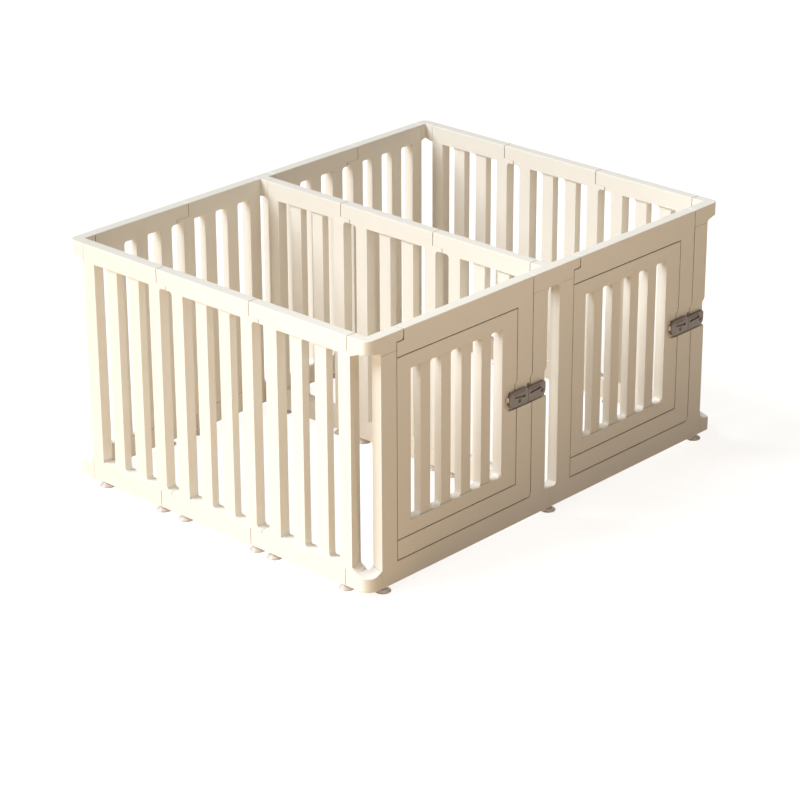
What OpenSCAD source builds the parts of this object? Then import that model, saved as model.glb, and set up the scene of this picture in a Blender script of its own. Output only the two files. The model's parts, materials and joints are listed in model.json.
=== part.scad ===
/* [Walls] */
// Height of a wall from the underside of its bottom rail to its top
wall_h = 600; // [560:1:650]
// Thickness of every wall
wall_t = 28; // [26:1:32]
// Width of one slotted panel
panel_w = 259; // [240:1:280]
// Width of an upright bar in a panel
bar_w = 36; // [30:1:40]
// Number of upright slots in a panel
slot_count = 3; // [2:1:4]
// Open gap between two panels of a side wall
side_gap = 41; // [36:1:50]
// Number of panels along a side wall
side_panels = 3; // [3:1:3]
// Distance from the outer corner to the first panel of a side wall
side_offset = 52; // [46:1:60]
// Height of the top rail above the slots
top_rail = 44; // [42:1:50]
// Height of the bottom rail below the slots
bottom_rail = 51; // [50:1:56]
// Depth by which the inner bars are set back from the rails
bar_recess = 3.5; // [2:0.5:5]
// Corner radius of every slot
slot_r = 9; // [4:1:12]

/* [Corners] */
// Corner radius of the four top pieces, in plan
top_round = 20; // [10:1:20]
// Corner radius of the front left base piece, in plan
base_round = 28; // [10:1:28]
// Corner radius of the other three base pieces, in plan
base_tight_round = 12; // [6:1:14]
// Radius of the flare under the front right top piece, beside its post
top_flare = 14; // [8:1:16]
// Radius of the flare on the front right base piece, beside its post
base_flare = 28; // [16:1:29]

/* [Doors] */
// Distance from the outer corner to the nearest door post
post_offset = 42; // [36:1:48]
// Width of a door post
post_w = 49.5; // [49:0.5:56]
// Clear width between the two posts of a doorway
doorway_w = 454; // [450:1:460]
// Width of the open slot between the two doorways
tee_slot = 42; // [38:1:46]
// Gap between a moving door and what surrounds it
door_gap = 2; // [1:0.1:2]
// Width of the gate's free stile
gate_stile = 51.5; // [50:0.5:56]
// Top of the gate's bottom rail
gate_sill = 100.2; // [96:0.1:104]
// Underside of the gate's top rail
gate_head = 538.6; // [530:0.1:542]
// Number of slots in the leaf
leaf_slots = 5; // [3:1:5]
// Width of a leaf slot
leaf_slot_w = 35.1; // [30:0.1:38]
// Width of a bar between two leaf slots
leaf_bar_w = 31.8; // [28:0.1:34]
// Height of the plain border above and below the leaf's slots
leaf_border = 35; // [30:1:40]

/* [Hinges] */
// Distance from the doorway's edge to the hinge axis
hinge_in = 18; // [17.5:0.5:18]
// Distance from the wall's outer face to the hinge axis
hinge_y = 5; // [5:0.5:5.5]
// Radius of a hinge pin
pin_r = 2; // [1.5:0.1:2.2]
// Reach of the hinge arm past the doorway's edge
arm_reach = 22.1; // [22:0.1:22.5]
// Height of the hinge arm
arm_h = 25; // [20:1:27]

/* [Latches] */
// Depth of the pocket that the latch lies in
pocket_d = 6; // [5:0.5:7]
// Upward travel that releases a latch
latch_travel = 12; // [8:1:22]
// Height of the plate over the leaf
leaf_plate_h = 38; // [36:1:40]
// Height of the plate over the gate's stile and the post
gate_plate_h = 35; // [34:1:38]
// Height of the underside of the latch plates at rest
latch_z = 297; // [290:1:300]

/* [Feet] */
// Height of a suction foot below the rails
foot_h = 14; // [12:1:16]
// Radius of a suction foot at the floor
foot_r = 19; // [16:0.5:20]

/* [Hidden] */
$fn = 64;
wall_names = ["left", "divider", "right"];

cream = [0.93, 0.90, 0.82];
latch_grey = [0.50, 0.45, 0.41];
steel = [0.72, 0.72, 0.72];
screw_dark = [0.20, 0.16, 0.13];
foot_pink = [0.92, 0.84, 0.80];

cut = 1;                     // how far a cutter runs past the face it opens
fit = 0.3;                   // clearance between a tenon and its pocket
seam = 1.2;                  // open seam at the end of a lapped hook

// Overall plan
door_module = post_offset + 2 * post_w + doorway_w;
pen_w = 2 * door_module + tee_slot;
pen_d = 2 * side_offset + side_panels * panel_w + (side_panels - 1) * side_gap;
side_pitch = panel_w + side_gap;
back_tee = 34;
back_gap = (pen_w - 2 * post_offset - 4 * panel_w - back_tee) / 2;
back_y = pen_d - wall_t;
divider_x = (pen_w - wall_t) / 2;
right_x = pen_w - wall_t;
back_starts = [for (i = [0:3]) post_offset + i * (panel_w + back_gap) + (i > 1 ? back_tee - back_gap : 0)];

// Levels
slot_top = wall_h - top_rail;
slot_h = slot_top - bottom_rail;
slot_w = (panel_w - (slot_count + 1) * bar_w) / slot_count;

// Lap joints between neighbouring pieces: a hook of one lies over a tongue of the next
lap_top = 10;
lap_back = 19;
lap_bottom = 22;
tongue_top = 20;
tongue_bottom = 15;
top_seam_z = wall_h - 34;
bottom_seam_z = bottom_rail - 9;
tenon = [10, 12, 12];

// Corners
corner_top_h = 32;
corner_base_h = 33;
arch_rise = top_rail - corner_top_h;
arch_r = (pow(side_offset, 2) + pow(arch_rise, 2)) / (2 * arch_rise);
top_flare_z = wall_h - corner_top_h - 2;
base_flare_z = corner_base_h + 0.5;
dip = bottom_rail - corner_base_h;
dip_r = (pow(side_offset, 2) + pow(dip, 2)) / (2 * dip);

// Doors, measured from the doorway's left edge
post_tenon = [26, 12, 14];
swing_r = 17;                // the leaf's hinge edge stays inside this radius
frame_r = 11;                // fillet in the doorway's lower right corner
leaf_stile = 44.9;
leaf_pitch = leaf_slot_w + leaf_bar_w;
leaf_slots_w = leaf_slots * leaf_pitch - leaf_bar_w;
leaf_low = gate_sill + door_gap;
leaf_high = gate_head - door_gap;
gate_low = bottom_rail + door_gap;
arm_low = wall_h - arm_h;
arm_r = 10;
arm_sweep_r = 7.3;           // the gate stays outside this radius round the axis beside the arm
pin_clear = 0.05;
snug = 0.02;                 // round a pin, shank or stem that sits still in its hole
slot_clear = 0.7;            // round a shank or peg that rides in its slot
pin_ends = [[30, 118], [518, 592]];
pin_play = 0.5;              // free length at the end of a pin

// Latches, measured from the doorway's left edge
pocket_ramp_x = 352;         // the pocket's floor slopes in from here
pocket_x = 368;              // and is level from here on
pocket_low = latch_z - 5;
pocket_high = latch_z + leaf_plate_h + latch_travel + 3;
pocket_fade = 12;
pocket_chamfer = 20;
plate_back = pocket_d - 0.3;
plate_front = -2;
plate_mid_x = 438.2;
plate_gap = 0.8;
leaf_plate_x = 372.5;
gate_plate_end = 498.5;
leaf_screw = [407, latch_z + 12];
gate_screw = [486, latch_z + 14.5];
screw_r = 5;
shank_r = 2.5;
shank_end = 13;
peg = [9, 5.5, 12];
peg_z = latch_z + 14;
rib = [7, 5.5, 27];
rib_x = 442;
rib_z = latch_z + 4;
side_feet = [83, 310, 366, 605, 681, 880];
front_feet = [58, 624, 1183];
back_foot_in = [30, 234];

// Places a piece given in the pen's own corner frame into the part's frame
module in_pen() translate([-pen_w / 2, -pen_d / 2, foot_h]) children();

// Turns a drawing of a wall, seen from its face, into an upright slab of thickness t
module upright(t = wall_t, from = 0)
    translate([0, from + t, 0]) rotate([90, 0, 0]) linear_extrude(t) children();

// Lays a wall that was built along X along Y, from y0 on, between x0 and x0 + wall_t
module along_y(x0, y0) translate([x0 + wall_t, y0, 0]) rotate([0, 0, 90]) children();

module round_rect(w, h, r) {
    translate([r, 0]) square([w - 2 * r, h]);
    translate([0, r]) square([w, h - 2 * r]);
    for (x = [r, w - r]) for (y = [r, h - r]) translate([x, y]) circle(r);
}

// The rounded inner corner that fills a right angle at the origin, towards +X and +Y
module fillet(r) difference() {
    square(r);
    translate([r, r]) circle(r);
}

// ---------------------------------------------------------------- slotted panels

// Face view of a panel, with its tongues at the left and, if it has them, its hooks at the right
module panel_face(gap, lap, hooked) {
    end_top = hooked ? panel_w + gap + lap - seam : panel_w;
    end_bottom = hooked ? panel_w + gap + lap_bottom - seam : panel_w;
    end_under_hook = hooked ? panel_w + gap - tongue_top - seam : panel_w;
    end_over_hook = hooked ? panel_w + gap - tongue_bottom - seam : panel_w;
    difference() {
        union() {
            translate([0, bottom_seam_z]) square([panel_w, top_seam_z - bottom_seam_z]);
            translate([lap, top_seam_z]) square([end_top - lap, wall_h - top_seam_z]);
            translate([lap_bottom, 0]) square([end_bottom - lap_bottom, bottom_seam_z]);
            translate([-tongue_top, slot_top]) square([end_under_hook + tongue_top, top_seam_z - slot_top]);
            translate([-tongue_bottom, bottom_seam_z])
                square([end_over_hook + tongue_bottom, bottom_rail - bottom_seam_z]);
            if (hooked) {
                translate([panel_w, bottom_rail]) fillet(slot_r);
                translate([panel_w, slot_top]) mirror([0, 1]) fillet(slot_r);
            }
            translate([0, bottom_rail]) mirror([1, 0]) fillet(slot_r);
            translate([0, slot_top]) mirror([1, 0]) mirror([0, 1]) fillet(slot_r);
        }
        for (i = [0:slot_count - 1])
            translate([bar_w + i * (bar_w + slot_w), bottom_rail]) round_rect(slot_w, slot_h, slot_r);
    }
}

// A tenon on the middle of a wall's thickness, or with grow the pocket that takes it
module tenon_block(u, z, grow = 0)
    translate([u - tenon[0] / 2 - grow, (wall_t - tenon[1]) / 2 - grow, z - grow])
        cube([tenon[0] + 2 * grow, tenon[1] + 2 * grow, tenon[2] + 2 * grow]);

// corner is the pen's outer corner in the panel's own plan, where a corner piece arches over the tongues
module panel(gap, lap = lap_top, hooked = true, corner = undef, feet = []) color(cream) difference() {
    union() {
        difference() {
            upright() panel_face(gap, lap, hooked);
            for (y = [-cut, wall_t - bar_recess]) translate([bar_w, y, bottom_rail])
                cube([panel_w - 2 * bar_w, bar_recess + cut, slot_h]);
            if (hooked) {
                tenon_block(panel_w + gap - tongue_top / 2, top_seam_z, fit);
                tenon_block(panel_w + gap - tongue_bottom / 2, bottom_seam_z - tenon[2], fit);
            }
        }
        tenon_block(-tongue_top / 2, top_seam_z);
        tenon_block(-tongue_bottom / 2, bottom_seam_z - tenon[2]);
    }
    if (corner != undef) translate([corner[0], corner[1], 0]) intersection() {
        translate([-2 * wall_t, -2 * wall_t, bottom_rail - dip])
            cube([2 * wall_t - corner[0], 4 * wall_t, wall_h]);
        union() {
            arch_ball();
            dip_ball();
        }
    }
    for (u = feet) foot_socket(u);
}

// ---------------------------------------------------------------- corners and tees

// The balls that hollow the open corner, under the top piece's arch and over the base piece's dip
module arch_ball() translate([0, 0, wall_h - corner_top_h - arch_r]) sphere(arch_r);
module dip_ball() translate([0, 0, corner_base_h + dip_r]) sphere(dip_r);

// Plan of two arms that meet at the origin in an outer corner of radius r
module corner_plan(reach_x, reach_y, r) difference() {
    union() {
        square([reach_x, wall_t]);
        translate([0, wall_t]) square([wall_t, reach_y - wall_t]);
    }
    fillet(r);
}

// Lays a tenon pocket on the middle of the arm along X, or along Y, at distance d from the corner
module arm_pocket(d, z, on_y) {
    if (on_y) along_y(0, 0) tenon_block(d, z, fit);
    else tenon_block(d, z, fit);
}

// Top piece of a corner. Each arm ends at reach. A lap above 0 hooks it over the panel that starts there
module corner_top(reach_x, reach_y, lap_x, lap_y, open_x = post_offset) difference() {
    union() {
        translate([0, 0, top_seam_z]) linear_extrude(wall_h - top_seam_z)
            corner_plan(reach_x + max(lap_x - seam, 0), reach_y + max(lap_y - seam, 0), top_round);
        translate([0, 0, slot_top]) linear_extrude(top_seam_z - slot_top)
            corner_plan(reach_x - (lap_x > 0 ? tongue_top + seam : 0),
                        reach_y - (lap_y > 0 ? tongue_top + seam : 0), top_round);
    }
    intersection() {
        translate([-cut, -cut, slot_top - cut]) cube([open_x + cut, side_offset + cut, top_rail]);
        arch_ball();
    }
    if (lap_x > 0) arm_pocket(reach_x - tongue_top / 2, top_seam_z, false);
    if (lap_y > 0) arm_pocket(reach_y - tongue_top / 2, top_seam_z, true);
}

// Base piece of a corner. An arm with a hook laps under the panel that starts there
module corner_base(reach_x, reach_y, hook_x, hook_y, r) difference() {
    union() {
        linear_extrude(bottom_seam_z)
            corner_plan(reach_x + (hook_x ? lap_bottom - seam : 0),
                        reach_y + (hook_y ? lap_bottom - seam : 0), r);
        translate([0, 0, bottom_seam_z]) linear_extrude(bottom_rail - bottom_seam_z)
            corner_plan(reach_x - (hook_x ? tongue_bottom + seam : 0),
                        reach_y - (hook_y ? tongue_bottom + seam : 0), r);
    }
    dip_ball();
    if (hook_x) arm_pocket(reach_x - tongue_bottom / 2, bottom_seam_z - tenon[2], false);
    if (hook_y) arm_pocket(reach_y - tongue_bottom / 2, bottom_seam_z - tenon[2], true);
}

// The arm that carries a door's upper hinge pin, from the doorway's left edge on
module hinge_arm() difference() {
    upright() difference() {
        translate([0, arm_low]) square([arm_reach, arm_h]);
        translate([arm_reach, arm_low]) mirror([1, 0]) fillet(arm_r);
    }
    pin_hole(1, snug);
}

module post_pocket(x)
    translate([x - post_tenon[0] / 2 - fit, (wall_t - post_tenon[1]) / 2 - fit, slot_top - cut])
        cube([post_tenon[0] + 2 * fit, post_tenon[1] + 2 * fit, post_tenon[2] + fit + cut]);

module corner_top_front_left() color(cream) in_pen() {
    difference() {
        corner_top(post_offset + post_w, side_offset, 0, lap_top);
        post_pocket(post_offset + post_w / 2);
    }
    translate([post_offset + post_w, 0, 0]) hinge_arm();
}

// A concave flare of radius r beside a post, as thick as the wall. It stands on z, or if hung it hangs from z
module flare(z, r, hung)
    upright() translate([post_offset, z]) mirror([1, 0]) mirror([0, hung ? 1 : 0]) fillet(r);

module corner_top_front_right() color(cream) in_pen() translate([pen_w, 0, 0]) mirror([1, 0, 0]) {
    difference() {
        corner_top(post_offset + post_w, side_offset, 0, lap_top);
        post_pocket(post_offset + post_w / 2);
    }
    flare(top_flare_z, top_flare, true);
}

module corner_top_back_left() color(cream) in_pen() translate([0, pen_d, 0]) mirror([0, 1, 0])
    corner_top(post_offset, side_offset, lap_back, 0);

module corner_top_back_right() color(cream) in_pen() translate([pen_w, pen_d, 0]) rotate([0, 0, 180])
    corner_top(post_offset, side_offset, 0, 0);

module corner_base_front_left() color(cream) in_pen()
    corner_base(post_offset, side_offset, false, true, base_round);

module corner_base_front_right() color(cream) in_pen() translate([pen_w, 0, 0]) mirror([1, 0, 0]) {
    corner_base(post_offset, side_offset, false, true, base_tight_round);
    flare(base_flare_z, base_flare, false);
}

module corner_base_back_left() color(cream) in_pen() translate([0, pen_d, 0]) mirror([0, 1, 0])
    corner_base(post_offset, side_offset, true, false, base_tight_round);

module corner_base_back_right() color(cream) in_pen() translate([pen_w, pen_d, 0]) rotate([0, 0, 180])
    corner_base(post_offset, side_offset, false, false, base_tight_round);

// A block in the divider's line, from y0 to y1 and z0 to z1
module stem(y0, y1, z0, z1) translate([divider_x, y0, z0]) cube([wall_t, y1 - y0, z1 - z0]);

module tee_top_front() color(cream) in_pen() {
    difference() {
        union() {
            translate([door_module - post_w, 0, 0]) upright() {
                translate([0, slot_top]) square([2 * post_w + tee_slot, top_rail]);
                translate([post_w, slot_top]) mirror([0, 1]) fillet(slot_r);
                translate([post_w + tee_slot, slot_top]) mirror([1, 0]) mirror([0, 1]) fillet(slot_r);
            }
            stem(wall_t, side_offset + lap_top - seam, top_seam_z, wall_h);
            stem(wall_t, side_offset - tongue_top - seam, slot_top, top_seam_z);
        }
        translate([divider_x, 0, 0]) arm_pocket(side_offset - tongue_top / 2, top_seam_z, true);
        for (x = [door_module - post_w / 2, door_module + tee_slot + post_w / 2]) post_pocket(x);
    }
    translate([door_module + tee_slot + post_w, 0, 0]) hinge_arm();
}

// The key that locks the front tee's base into both door frames, or with grow the pocket that takes it
tee_key = [20, 8, 30];
module tee_key_block(grow = 0, run_out = 0)
    translate([(pen_w - tee_key[0]) / 2 - grow, wall_t - tee_key[1] - grow, -run_out])
        cube([tee_key[0] + 2 * grow, tee_key[1] + grow + run_out, tee_key[2] + grow + run_out]);

module tee_base_front() color(cream) in_pen() {
    difference() {
        union() {
            stem(wall_t, side_offset + lap_bottom - seam, 0, bottom_seam_z);
            stem(wall_t, side_offset - tongue_bottom - seam, bottom_seam_z, bottom_rail);
        }
        translate([divider_x, 0, 0])
            arm_pocket(side_offset - tongue_bottom / 2, bottom_seam_z - tenon[2], true);
    }
    tee_key_block();
}

tee_start = back_starts[2] - back_tee;
module tee_top_back() color(cream) in_pen() difference() {
    union() {
        translate([tee_start, back_y, top_seam_z])
            cube([back_tee + lap_back - seam, wall_t, wall_h - top_seam_z]);
        translate([tee_start, back_y, slot_top])
            cube([back_tee - tongue_top - seam, wall_t, top_seam_z - slot_top]);
        stem(pen_d - side_offset, back_y, slot_top, wall_h);
    }
    translate([0, back_y, 0]) tenon_block(back_starts[2] - tongue_top / 2, top_seam_z, fit);
}

module tee_base_back() color(cream) in_pen() difference() {
    union() {
        translate([tee_start, back_y, 0]) cube([back_tee + lap_bottom - seam, wall_t, bottom_seam_z]);
        translate([tee_start, back_y, bottom_seam_z])
            cube([back_tee - tongue_bottom - seam, wall_t, bottom_rail - bottom_seam_z]);
        stem(pen_d - side_offset, back_y, 0, bottom_rail);
    }
    translate([0, back_y, 0]) tenon_block(back_starts[2] - tongue_bottom / 2, bottom_seam_z - tenon[2], fit);
}

// ---------------------------------------------------------------- doorways

// Everything below is drawn from a doorway's left edge. Door b stands one module further right
door_x = [post_offset + post_w, door_module + tee_slot + post_w];

// The hole round a door's lower pin, end 0, or its upper pin, end 1, which runs into a blind hole
module pin_hole(end, clear) translate([hinge_in, hinge_y, pin_ends[end][0] - pin_play])
    cylinder(r = pin_r + clear, h = pin_ends[end][1] - pin_ends[end][0] + (end == 0 ? 2 : 1) * pin_play);

// The shallow pocket that runs across leaf, gate and post, and fades out upward and to the left
module latch_pocket() {
    pocket_end = doorway_w + post_w + cut;
    pocket_top = pocket_high + pocket_fade;
    intersection() {
        translate([pocket_ramp_x, 0, 0]) rotate([90, 0, 90]) linear_extrude(pocket_end - pocket_ramp_x)
            polygon([[-cut, pocket_low], [pocket_d, pocket_low], [pocket_d, pocket_high], [0, pocket_top],
                     [-cut, pocket_top]]);
        translate([0, 0, pocket_low]) linear_extrude(pocket_top - pocket_low)
            polygon([[pocket_ramp_x, -cut], [pocket_end, -cut], [pocket_end, pocket_d], [pocket_x, pocket_d],
                     [pocket_ramp_x, 0]]);
        upright(pocket_d + 2 * cut, -cut)
            polygon([[pocket_ramp_x, pocket_top], [pocket_ramp_x, pocket_low + pocket_chamfer],
                     [pocket_ramp_x + pocket_chamfer, pocket_low], [pocket_end, pocket_low],
                     [pocket_end, pocket_top]]);
    }
}

// A slot as high as a latch's travel, for a round shank or a square block that rides in it
module travel_slot(x, z, w, h, depth, clear) translate([x - w / 2 - clear, pocket_d - cut, z - clear])
    cube([w + 2 * clear, depth - pocket_d + cut, h + latch_travel + 2 * clear]);

module shank_slot(at)
    travel_slot(at[0], at[1] - shank_r, 2 * shank_r, 2 * shank_r, shank_end + fit, slot_clear);

module door_frame(left_reach, right_reach) difference() {
    union() {
        upright() {
            translate([-post_w - left_reach, 0])
                square([left_reach + doorway_w + 2 * post_w + right_reach, bottom_rail]);
            for (x = [-post_w, doorway_w]) translate([x, 0]) square([post_w, slot_top]);
            translate([doorway_w, bottom_rail]) mirror([1, 0]) fillet(frame_r);
            if (right_reach > 0) translate([doorway_w + post_w, bottom_rail]) fillet(slot_r);
            if (left_reach > 0) translate([-post_w, bottom_rail]) mirror([1, 0]) fillet(slot_r);
        }
        for (x = [-post_w / 2, doorway_w + post_w / 2])
            translate([x - post_tenon[0] / 2, (wall_t - post_tenon[1]) / 2, slot_top - cut])
                cube([post_tenon[0], post_tenon[1], post_tenon[2] + cut]);
    }
    latch_pocket();
    shank_slot(gate_screw);
    pin_hole(0, snug);
}

module door_frame_a() color(cream) in_pen() difference() {
    translate([door_x[0], 0, 0]) door_frame(0, tee_slot / 2);
    tee_key_block(fit, cut);
    foot_socket(front_feet[0]);
}

module door_frame_b() color(cream) in_pen() difference() {
    translate([door_x[1], 0, 0]) door_frame(tee_slot / 2, 0);
    tee_key_block(fit, cut);
    for (i = [1, 2]) foot_socket(front_feet[i]);
}

swing_inset = 0.5;           // the hinge edge lies this far inside the swing radius
hinge_edge = hinge_in - swing_r + swing_inset;
gate_right = doorway_w - door_gap;
leaf_right = gate_right - gate_stile - door_gap;
gate_r = frame_r - door_gap;

module gate() color(cream) difference() {
    upright() difference() {
        translate([hinge_edge, gate_low]) square([gate_right - hinge_edge, wall_h - gate_low]);
        translate([-cut, gate_sill]) square([leaf_right + door_gap + cut, gate_head - gate_sill]);
        translate([gate_right, gate_low]) mirror([1, 0]) fillet(gate_r);
        translate([-cut, arm_low - door_gap]) square([arm_reach + door_gap + cut, arm_h + door_gap + cut]);
    }
    translate([hinge_in, hinge_y, arm_low - door_gap]) cylinder(r = arm_sweep_r, h = arm_h + 2 * door_gap);
    for (end = [0, 1]) pin_hole(end, pin_clear);
    latch_pocket();
    shank_slot(leaf_screw);
    travel_slot(rib_x + rib[0] / 2, rib_z, rib[0], rib[2], pocket_d + rib[1] + fit, fit);
}

// Clears the leaf's hinge edge on the inside, so that it swings past the post
module leaf_back_relief() translate([hinge_in, hinge_y, 0]) linear_extrude(wall_h) difference() {
    translate([-swing_r - cut, 0]) square([swing_r + cut + leaf_stile - hinge_in, wall_t]);
    circle(swing_r);
    square([leaf_stile, swing_r]);
}

leaf_stop = [6, 7.5, 10];
leaf_stop_x = leaf_plate_x - leaf_stop[0] - 1;
leaf_stop_y = -0.5;
module leaf() color(cream) {
    slots_z = leaf_low + leaf_border;
    slots_h = leaf_high - leaf_low - 2 * leaf_border;
    difference() {
        upright() difference() {
            translate([hinge_edge, leaf_low]) square([leaf_right - hinge_edge, leaf_high - leaf_low]);
            for (i = [0:leaf_slots - 1])
                translate([leaf_stile + i * leaf_pitch, slots_z]) round_rect(leaf_slot_w, slots_h, slot_r);
        }
        for (y = [-cut, wall_t - bar_recess]) translate([leaf_stile, y, slots_z])
            cube([leaf_slots_w, bar_recess + cut, slots_h]);
        leaf_back_relief();
        for (end = [0, 1]) pin_hole(end, pin_clear);
        latch_pocket();
        travel_slot(leaf_plate_x + peg[0], peg_z, peg[0], peg[2], pocket_d + peg[1] + fit, slot_clear);
    }
    translate([leaf_stop_x, leaf_stop_y, latch_z + leaf_plate_h / 2]) cube(leaf_stop);
}

module hinge_pins() color(steel) for (end = pin_ends)
    translate([hinge_in, hinge_y, end[0]]) cylinder(r = pin_r, h = end[1] - end[0]);

// ---------------------------------------------------------------- latches

grip = [38, 5.5, 3];
grip_end_r = 2.6;
head_depth = 2.5;
screw_sink = 0.2;
head_clear = 0.1;            // round a screw's head, in its counterbore
root = 0.01;                 // how far a peg or rib reaches into the plate that it grows from
leaf_grip = [leaf_plate_x + 17, latch_z + 22];
leaf_grip_tilt = -8;
gate_grip = [plate_mid_x + 6, latch_z + 18];
gate_grip_tilt = 4;
grip_rib = [1.4, 0.6, 6];    // fine upright ribs along a plate's upper edge
grip_rib_pitch = 3.6;
leaf_rib_count = 11;
gate_rib_count = 10;

// Face of a latch plate of height h between x0 and x1, with a radius for each corner
module plate_face(x0, x1, h, low_left, high_left, low_right, high_right) difference() {
    translate([x0, latch_z]) square([x1 - x0, h]);
    translate([x0, latch_z]) fillet(low_left);
    translate([x0, latch_z + h]) mirror([0, 1]) fillet(high_left);
    translate([x1, latch_z]) mirror([1, 0]) fillet(low_right);
    translate([x1, latch_z + h]) mirror([1, 0]) mirror([0, 1]) fillet(high_right);
}

module plate_cuts(at, grip_at, tilt) {
    translate([at[0], plate_front - cut, at[1]]) rotate([-90, 0, 0]) {
        cylinder(r = shank_r + snug, h = wall_t);
        cylinder(r = screw_r + head_clear, h = head_depth + cut);
    }
    upright(grip[2] + cut, plate_front - cut) translate(grip_at) rotate(tilt)
        round_rect(grip[0], grip[1], grip_end_r);
}

module grip_ribs(x, top, count) for (i = [0:count - 1])
    translate([x + i * grip_rib_pitch, plate_front - grip_rib[1], latch_z + top - grip_rib[2]])
        cube([grip_rib[0], grip_rib[1] + root, grip_rib[2]]);

module leaf_latch() color(latch_grey) {
    difference() {
        upright(plate_back - plate_front, plate_front)
            plate_face(leaf_plate_x, plate_mid_x - plate_gap / 2, leaf_plate_h, 16, 16, 1, 9);
        plate_cuts(leaf_screw, leaf_grip, leaf_grip_tilt);
    }
    grip_ribs(leaf_plate_x + 15, leaf_plate_h - 2.5, leaf_rib_count);
    translate([leaf_plate_x + peg[0] / 2, plate_back - root, peg_z]) cube([peg[0], peg[1] + root, peg[2]]);
}

module gate_latch() color(latch_grey) {
    difference() {
        upright(plate_back - plate_front, plate_front)
            plate_face(plate_mid_x + plate_gap / 2, gate_plate_end, gate_plate_h, 1, 4, 14, 6);
        plate_cuts(gate_screw, gate_grip, gate_grip_tilt);
    }
    grip_ribs(plate_mid_x + 7, gate_plate_h - 2.5, gate_rib_count);
    translate([rib_x, plate_back - root, rib_z]) cube([rib[0], rib[1] + root, rib[2]]);
}

module latch_screw(at) color(screw_dark) translate([at[0], 0, at[1]]) rotate([-90, 0, 0]) {
    translate([0, 0, plate_front + screw_sink]) cylinder(r = screw_r, h = head_depth - screw_sink);
    cylinder(r = shank_r, h = shank_end);
}

// ---------------------------------------------------------------- suction feet

foot_stem_r = 4;
foot_stem_h = 7;
foot_rim = 1.5;              // width and height of the cup's rim on the floor
foot_hollow = 3.5;           // height of the cup's hollow
foot_neck_r = 9;
foot_neck_z = 9;
module foot_socket(u) translate([u, wall_t / 2, -cut])
    cylinder(r = foot_stem_r + snug, h = foot_stem_h + cut + fit);

module suction_foot() translate([0, wall_t / 2, -foot_h]) rotate_extrude()
    polygon([[0, foot_hollow], [foot_rim * 3, foot_hollow], [foot_r - foot_rim, 0], [foot_r, 0],
             [foot_r, foot_rim], [foot_r - foot_rim, 2 * foot_rim],
             [foot_neck_r + foot_rim, foot_neck_z - foot_rim], [foot_neck_r, foot_neck_z],
             [foot_neck_r, foot_h], [foot_stem_r, foot_h], [foot_stem_r, foot_h + foot_stem_h],
             [0, foot_h + foot_stem_h]]);

module foot_row(places) color(foot_pink) for (u = places) translate([u, 0, 0]) suction_foot();

back_feet = [for (s = back_starts) for (d = back_foot_in) s + d];

// ---------------------------------------------------------------- assembly

wall_x = [0, divider_x, right_x];
wall_corner = [[-side_offset, wall_t], undef, [-side_offset, 0]];
door_names = ["a", "b"];

// Puts one piece of each doorway in its place, if its name is asked for
module at_door(name, d)
    in_pen() translate([door_x[d], 0, 0]) children();

for (d = [0, 1]) {
    at_door("gate", d) gate();
    at_door("leaf", d) leaf();
    at_door("hinge_pins", d) hinge_pins();
    at_door("leaf_latch", d) leaf_latch();
    at_door("gate_latch", d) gate_latch();
    at_door("leaf_latch_screw", d) latch_screw(leaf_screw);
    at_door("gate_latch_screw", d) latch_screw(gate_screw);
}
door_frame_a();
door_frame_b();
corner_top_front_left();
corner_base_front_left();
corner_top_front_right();
corner_base_front_right();
corner_top_back_left();
corner_base_back_left();
corner_top_back_right();
corner_base_back_right();
tee_top_front();
tee_base_front();
tee_top_back();
tee_base_back();
for (w = [0:2]) for (i = [1:side_panels])
    in_pen()
        along_y(wall_x[w], side_offset + (i - 1) * side_pitch)
            panel(side_gap, lap_top, i < side_panels, i == 1 ? wall_corner[w] : undef,
                  [for (f = side_feet) f - side_offset - (i - 1) * side_pitch]);
for (i = [1:4])
    in_pen() translate([back_starts[i - 1], back_y, 0])
        panel(back_gap, lap_back, i == 1 || i == 3, i == 1 ? [-post_offset, wall_t] : undef, back_foot_in);
for (w = [0:2])
    in_pen() along_y(wall_x[w], 0) foot_row(side_feet);
in_pen() foot_row(front_feet);  // suction_feet_front
in_pen() translate([0, back_y, 0]) foot_row(back_feet);  // suction_feet_back
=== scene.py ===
"""The pet playpen's finish: rounded edges, materials, camera, floor and light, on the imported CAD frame.

Lengths are in metres where nothing else is said.
"""

import json
import math

import bmesh
import bpy
from mathutils import Matrix, Vector

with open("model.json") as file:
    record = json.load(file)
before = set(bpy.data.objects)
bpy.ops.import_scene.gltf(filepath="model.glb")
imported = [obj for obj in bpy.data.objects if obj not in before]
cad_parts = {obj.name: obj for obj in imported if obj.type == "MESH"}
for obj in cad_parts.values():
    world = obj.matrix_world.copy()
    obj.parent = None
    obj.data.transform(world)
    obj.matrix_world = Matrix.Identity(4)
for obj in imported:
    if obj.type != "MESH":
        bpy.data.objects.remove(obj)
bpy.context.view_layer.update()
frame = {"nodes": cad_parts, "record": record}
scene = bpy.context.scene


# ---------------------------------------------------------------- camera
# Where the viewer stands: in front of the pen's left corner, above it.
EYE = Vector((-4.605, -4.301, 2.866))
YAW = math.radians(46.96)       # from +Y towards +X
PITCH = math.radians(-23.34)    # below the horizon
ROLL = math.radians(-0.23)
FOCAL = 126.7                   # mm
SENSOR = 36                     # mm, the sensor's width
VIEW_DEPTH = 50                 # how far the camera sees, in metres


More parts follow.
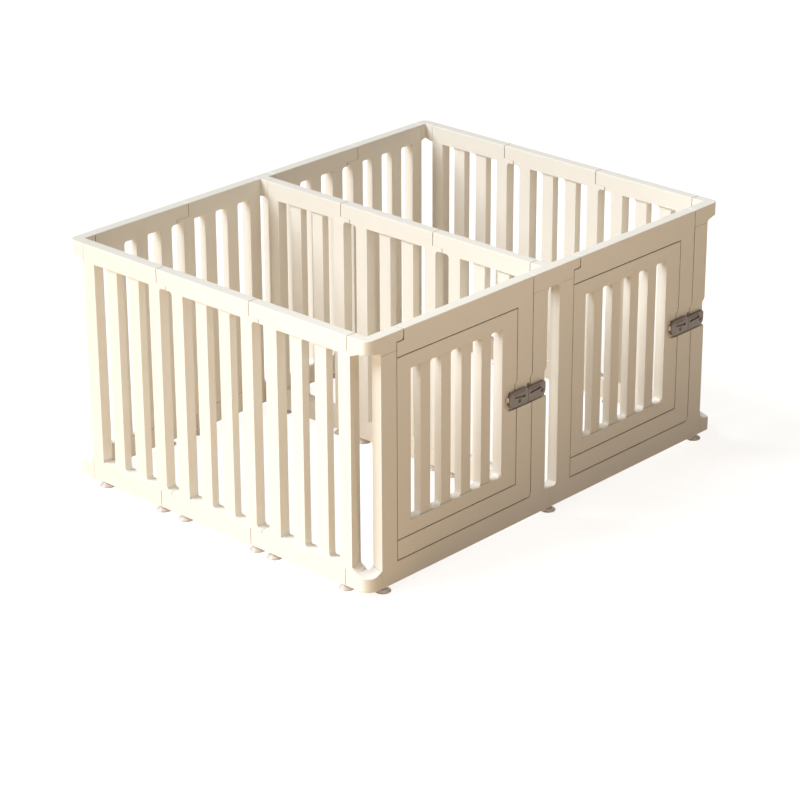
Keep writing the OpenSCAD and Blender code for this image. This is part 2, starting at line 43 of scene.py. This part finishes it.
def make_camera():
    data = bpy.data.cameras.new("camera")
    data.lens = FOCAL
    data.sensor_width = SENSOR
    data.clip_end = VIEW_DEPTH
    ahead = Vector((math.sin(YAW) * math.cos(PITCH), math.cos(YAW) * math.cos(PITCH), math.sin(PITCH)))
    right = Vector((math.cos(YAW), -math.sin(YAW), 0))
    up = right.cross(ahead)
    side = right * math.cos(ROLL) + up * math.sin(ROLL)
    top = up * math.cos(ROLL) - right * math.sin(ROLL)
    turn = Matrix((side, top, -ahead)).transposed().to_4x4()
    camera = bpy.data.objects.new("camera", data)
    camera.matrix_world = Matrix.Translation(EYE) @ turn
    scene.collection.objects.link(camera)
    scene.camera = camera


# ---------------------------------------------------------------- materials

SEAM_REACH = 0.006      # how far the shade in a seam creeps out of it
SEAM_RAYS = 6
# The sockets of a Mix node that mixes colours.
MIX_SHARE, MIX_A, MIX_B, MIX_RESULT = 0, 6, 7, 2


class Shading:
    """One Principled material and the few node recipes that the pen's materials share."""

    def __init__(self, name):
        self.mat = bpy.data.materials.new(name)
        self.mat.use_nodes = True
        self.nodes = self.mat.node_tree.nodes
        self.links = self.mat.node_tree.links
        self.shader = self.nodes["Principled BSDF"]
        self.coords = self.nodes.new("ShaderNodeTexCoord").outputs["Object"]

    def noise(self, scale, detail, roughness=0.5):
        node = self.nodes.new("ShaderNodeTexNoise")
        node.inputs["Scale"].default_value = scale
        node.inputs["Detail"].default_value = detail
        node.inputs["Roughness"].default_value = roughness
        self.links.new(self.coords, node.inputs["Vector"])
        return node.outputs["Fac"]

    def spread(self, value, low, high, start=0.0, stop=1.0):
        """Maps a value that runs from start to stop onto low to high."""
        node = self.nodes.new("ShaderNodeMapRange")
        node.inputs["From Min"].default_value = start
        node.inputs["From Max"].default_value = stop
        node.inputs["To Min"].default_value = low
        node.inputs["To Max"].default_value = high
        self.links.new(value, node.inputs["Value"])
        return node.outputs["Result"]

    def mix(self, share, a, b):
        """Goes from a to b as share goes from 0 to 1. Each is a colour or another node's output."""
        node = self.nodes.new("ShaderNodeMix")
        node.data_type = "RGBA"
        for socket, colour in ((node.inputs[MIX_A], a), (node.inputs[MIX_B], b)):
            if isinstance(colour, tuple):
                socket.default_value = (*colour, 1)
            else:
                self.links.new(colour, socket)
        self.links.new(share, node.inputs[MIX_SHARE])
        return node.outputs[MIX_RESULT]

    def crevice(self, reach):
        """1 in the open, falling to 0 deep in a seam narrower than reach."""
        node = self.nodes.new("ShaderNodeAmbientOcclusion")
        node.inputs["Distance"].default_value = reach
        node.samples = SEAM_RAYS
        return node.outputs["AO"]

    def bump(self, height, strength, distance, below=None):
        node = self.nodes.new("ShaderNodeBump")
        node.inputs["Strength"].default_value = strength
        node.inputs["Distance"].default_value = distance
        self.links.new(height, node.inputs["Height"])
        if below:
            self.links.new(below, node.inputs["Normal"])
        return node.outputs["Normal"]


def moulded(name, pale, deep, painted_seam_shade, roughness, grain_scale, grain, warp):
    """Moulded plastic: faint flow mottle, fine eroded grain, uneven gloss, and painted shade in the seams."""
    s = Shading(name)
    mottle = s.noise(scale=5.5, detail=4.0, roughness=0.55)
    handling = s.noise(scale=38, detail=3.0, roughness=0.6)
    body = s.mix(mottle, pale, deep)
    worn = s.spread(handling, low=0.0, high=0.16, start=0.55, stop=0.80)
    rubbed = s.mix(worn, body, deep)
    # Painted shade: ambient occlusion darkens the colour towards the dark seam colour in seams and crevices.
    seam = s.spread(s.crevice(SEAM_REACH), low=1.0, high=0.0, start=0.12, stop=0.62)
    s.links.new(s.mix(seam, rubbed, painted_seam_shade), s.shader.inputs["Base Color"])
    glossy, matt = roughness
    gloss = s.mix(handling, (glossy, glossy, glossy), (matt, matt, matt))
    s.links.new(gloss, s.shader.inputs["Roughness"])
    fine = s.bump(s.noise(scale=grain_scale, detail=2.0, roughness=0.6), strength=grain, distance=0.0002)
    wide = s.bump(s.noise(scale=14, detail=2.0, roughness=0.4), strength=warp, distance=0.0012, below=fine)
    s.links.new(wide, s.shader.inputs["Normal"])
    s.shader.inputs["IOR"].default_value = 1.46
    return s


def wall_plastic():
    # The dark brown is the painted shade in the seams.
    s = moulded("cream_plastic", pale=(0.905, 0.86, 0.775), deep=(0.885, 0.835, 0.74),
                painted_seam_shade=(0.17, 0.09, 0.04), roughness=(0.34, 0.48), grain_scale=900, grain=0.08, warp=0.2)
    return s.mat


def latch_plastic():
    # The near black is the painted shade in the seams.
    s = moulded("grey_brown_plastic", pale=(0.30, 0.245, 0.205), deep=(0.24, 0.19, 0.16),
                painted_seam_shade=(0.03, 0.02, 0.015), roughness=(0.26, 0.40), grain_scale=1500, grain=0.12, warp=0.1)
    s.shader.inputs["Coat Weight"].default_value = 0.25
    s.shader.inputs["Coat Roughness"].default_value = 0.2
    return s.mat


def foot_vinyl():
    """Half clear vinyl."""
    # The light brown is the painted shade in the seams.
    s = moulded("foot_vinyl", pale=(0.97, 0.92, 0.86), deep=(0.93, 0.86, 0.78), painted_seam_shade=(0.60, 0.45, 0.34),
                roughness=(0.14, 0.26), grain_scale=400, grain=0.04, warp=0.1)
    s.shader.inputs["Transmission Weight"].default_value = 0.5
    return s.mat


STREAK_SHADE = 0.8      # a streak's colour against the metal's


def metal(name, colour, roughness):
    s = Shading(name)
    streak = s.noise(scale=700, detail=2.0)
    s.shader.inputs["Metallic"].default_value = 1.0
    dull = tuple(c * STREAK_SHADE for c in colour)
    s.links.new(s.mix(streak, colour, dull), s.shader.inputs["Base Color"])
    s.links.new(s.spread(streak, *roughness), s.shader.inputs["Roughness"])
    s.links.new(s.bump(streak, strength=0.15, distance=0.0001), s.shader.inputs["Normal"])
    return s.mat


# ---------------------------------------------------------------- the CAD nodes' finish

WALL_EDGE = 0.0012      # edge rounding of the cream mouldings
LATCH_EDGE = 0.0007
SMALL_EDGE = 0.0003
SMALL_FEATURE = 0.045   # outlines smaller than this, such as pin holes, keep their edges
WELD_REACH = 0.00001    # vertices nearer than this are one
PLACES = 1e5            # steps per metre in which two vertices' places are compared
FLAT = math.radians(0.05)   # faces that bend less than this are one face
SHARP = math.radians(35)
CUSP_COS = 0.94         # cosine of the angle under which two edges make a cusp
CUSP_REACH = 0.005      # edges nearer than this to a cusp stay sharp
BEND = math.radians(0.2)    # the least bend of a round face
STRAIGHT_COS = 0.99999  # cosine of the angle under which two edges are one line
MELT_VOXEL = 0.0008     # remeshing of the corner pieces
MELT_PASSES = 8
MELT_PULL = 0.5         # how far a smoothing pass moves a vertex towards its neighbours
MELT_KEEP = 0.3         # share of the remeshed faces that is kept


def spot(co):
    """A vertex's place, rounded to find it again in the unwelded CAD mesh."""
    return tuple(round(c * PLACES) for c in co)


def outlines(edges):
    """Groups the sharp edges that hang together."""
    left = set(edges)
    while left:
        group, todo = set(), [left.pop()]
        while todo:
            edge = todo.pop()
            group.add(edge)
            near = {e for v in edge.verts for e in v.link_edges if e in left}
            left -= near
            todo += near
        yield group


def cusps(group):
    """The vertices where two sharp edges leave in nearly the same direction, as at a fillet's thin end."""
    for vert in {v for e in group for v in e.verts}:
        ways = [(e.other_vert(vert).co - vert.co).normalized() for e in vert.link_edges if e in group]
        if any(a.dot(b) > CUSP_COS for i, a in enumerate(ways) for b in ways[:i]):
            yield vert.co.copy()


def on_ball(edge):
    """Whether an edge borders a face that bends both ways."""
    return any(all(e.calc_face_angle(0) > BEND for e in face.edges if e.calc_face_angle(0) < SHARP)
               for face in edge.link_faces)


def straight_run(edge, group):
    """The sharp edges that carry on from an edge in a straight line, and the edge itself."""
    run, todo = {edge}, [edge]
    while todo:
        here = todo.pop()
        for vert in here.verts:
            ahead = (vert.co - here.other_vert(vert).co).normalized()
            more = {e for e in vert.link_edges if e in group and e not in run
                    and ahead.dot((e.other_vert(vert).co - vert.co).normalized()) > STRAIGHT_COS}
            run |= more
            todo += more
    return run


def ball_edges(group):
    """The edges on a ball-shaped face, and the straight runs that end on one."""
    balls = {e for e in group if on_ball(e)}
    joined = {e for ball in balls for v in ball.verts for e in v.link_edges if e in group} - balls
    return balls.union(*(straight_run(e, group) for e in joined))


def mark_edges(obj, least):
    """Marks which sharp edges get rounded: outlines larger than least, away from cusps and balls.

    The other sharp edges are marked to stay sharp.
    """
    bm = bmesh.new()
    bm.from_mesh(obj.data)
    bmesh.ops.remove_doubles(bm, verts=bm.verts, dist=WELD_REACH)
    sharp = [e for e in bm.edges if len(e.link_faces) == 2 and e.calc_face_angle(0) > SHARP]
    rounded = set()
    for group in outlines(sharp):
        places = [v.co for e in group for v in e.verts]
        extent = Vector([max(p[i] for p in places) - min(p[i] for p in places) for i in range(3)])
        if extent.length < least:
            continue
        thin = list(cusps(group))
        rounded |= {e for e in group - ball_edges(group)
                    if all((v.co - t).length > CUSP_REACH for v in e.verts for t in thin)}
    round_ends = {frozenset(spot(v.co) for v in e.verts) for e in rounded}
    sharp_ends = {frozenset(spot(v.co) for v in e.verts) for e in sharp} - round_ends
    bm.free()
    obj.data.shade_smooth()
    spots = [spot(v.co) for v in obj.data.vertices]
    ends = [frozenset(spots[v] for v in e.vertices) for e in obj.data.edges]
    kinds = (("bevel_weight_edge", "FLOAT", round_ends), ("sharp_edge", "BOOLEAN", sharp_ends))
    for name, kind, chosen in kinds:
        marks = obj.data.attributes.get(name) or obj.data.attributes.new(name, kind, "EDGE")
        marks.data.foreach_set("value", [e in chosen for e in ends])


def soften(obj, width, least, segments=3):
    """Rounds a moulding's edges: welds the CAD mesh, joins its flat faces and bevels the marked edges."""
    mark_edges(obj, least)
    weld = obj.modifiers.new("weld", "WELD")
    weld.merge_threshold = WELD_REACH
    flat = obj.modifiers.new("flat", "DECIMATE")
    flat.decimate_type = "DISSOLVE"
    flat.angle_limit = FLAT
    bevel = obj.modifiers.new("bevel", "BEVEL")
    bevel.width = width
    bevel.segments = segments
    bevel.limit_method = "WEIGHT"
    bevel.use_clamp_overlap = False
    bevel.loop_slide = False
    weighted = obj.modifiers.new("normals", "WEIGHTED_NORMAL")
    weighted.keep_sharp = True


def melt(obj):
    """Rounds a small moulding all over, hollow corner included, by remeshing it finely and smoothing that."""
    remesh = obj.modifiers.new("remesh", "REMESH")
    remesh.mode = "VOXEL"
    remesh.voxel_size = MELT_VOXEL
    remesh.use_smooth_shade = True
    smooth = obj.modifiers.new("smooth", "SMOOTH")
    smooth.factor = MELT_PULL
    smooth.iterations = MELT_PASSES
    thin = obj.modifiers.new("thin", "DECIMATE")
    thin.ratio = MELT_KEEP


def paint(obj, mat):
    obj.data.materials.clear()
    obj.data.materials.append(mat)


def dress_cad(mats):
    """Gives every CAD node its material and its edges."""
    slots = {s["node"]: s["material_slot"] for s in frame["record"]["subparts"]}
    for name, obj in frame["nodes"].items():
        paint(obj, mats[slots[name]])
        if name.startswith("corner_"):
            melt(obj)
        elif slots[name] == "wall_plastic":
            soften(obj, WALL_EDGE, SMALL_FEATURE)
        elif slots[name] == "latch_plastic":
            soften(obj, LATCH_EDGE, SMALL_FEATURE)
        else:
            soften(obj, SMALL_EDGE, least=0, segments=2)


# ---------------------------------------------------------------- stage

STAGE = 50.0            # half the width of the floor
CARD_DEPTH = 0.002      # how far the card lies under the floor
GLOW = (1.0, 0.99, 0.975)


def ground(name, level, colour, glow):
    """A wide flat sheet on the stage, of one paint, that may glow like a lit table."""
    mesh = bpy.data.meshes.new(name)
    corners = [(-STAGE, -STAGE, level), (STAGE, -STAGE, level), (STAGE, STAGE, level), (-STAGE, STAGE, level)]
    mesh.from_pydata(corners, [], [(0, 1, 2, 3)])
    sheet = bpy.data.objects.new(name, mesh)
    scene.collection.objects.link(sheet)
    s = Shading(name + "_paint")
    s.shader.inputs["Base Color"].default_value = (*colour, 1)
    s.shader.inputs["Roughness"].default_value = 0.8
    s.shader.inputs["Emission Color"].default_value = (*GLOW, 1)
    s.shader.inputs["Emission Strength"].default_value = glow
    sheet.data.materials.append(s.mat)
    return sheet


def make_floor():
    """A pale lit floor that only shows, and a warm card under it that only throws light back up."""
    floor = ground("floor", level=0.0, colour=(0.36, 0.35, 0.34), glow=0.84)
    floor.visible_diffuse = False
    floor.visible_shadow = False
    card = ground("card", level=-CARD_DEPTH, colour=(0.62, 0.43, 0.23), glow=0.0)
    card.visible_camera = False
    card.visible_glossy = False


def make_world():
    world = bpy.data.worlds.new("world")
    scene.world = world
    world.use_nodes = True
    background = world.node_tree.nodes["Background"]
    background.inputs["Color"].default_value = (0.98, 0.90, 0.80, 1)
    background.inputs["Strength"].default_value = 0.17


def make_sun():
    """A broad cool key light, from high on the left and a little behind."""
    sun = bpy.data.lights.new("key", "SUN")
    sun.energy = 4.0
    sun.angle = math.radians(40)
    sun.color = (0.89, 0.94, 1.0)
    key = bpy.data.objects.new("key", sun)
    key.rotation_euler = Vector((-0.55, 0.48, 0.68)).to_track_quat("Z", "Y").to_euler()
    scene.collection.objects.link(key)


def area_light(name, place, aim, size, power, colour):
    """A rectangular light at a place, turned towards its aim, that the camera doesn't see."""
    data = bpy.data.lights.new(name, "AREA")
    data.shape = "RECTANGLE"
    data.size, data.size_y = size
    data.energy = power
    data.color = colour
    light = bpy.data.objects.new(name, data)
    turn = (Vector(place) - Vector(aim)).to_track_quat("Z", "Y").to_matrix().to_4x4()
    light.matrix_world = Matrix.Translation(Vector(place)) @ turn
    light.visible_camera = False
    scene.collection.objects.link(light)


def make_fills():
    """Two warm lights: on the doors from above, and on the left wall's bars from the left."""
    area_light("front_fill", place=(-0.3, -1.0, 1.35), aim=(0, -0.48, 0.45), size=(1.6, 0.4), power=2.9,
               colour=(1.0, 0.91, 0.80))
    area_light("left_fill", place=(-1.9, -0.5, 0.55), aim=(-0.6, 0.1, 0.35), size=(0.3, 0.9), power=5.0,
               colour=(1.0, 0.96, 0.91))


make_camera()
dress_cad({
    "wall_plastic": wall_plastic(),
    "latch_plastic": latch_plastic(),
    "pin_steel": metal("pin_steel", colour=(0.62, 0.61, 0.60), roughness=(0.2, 0.35)),
    "screw_steel": metal("screw_steel", colour=(0.10, 0.08, 0.07), roughness=(0.3, 0.45)),
    "foot_vinyl": foot_vinyl(),
})
make_floor()
make_world()
make_sun()
make_fills()
scene.view_settings.view_transform = "Standard"
scene.view_settings.look = "None"
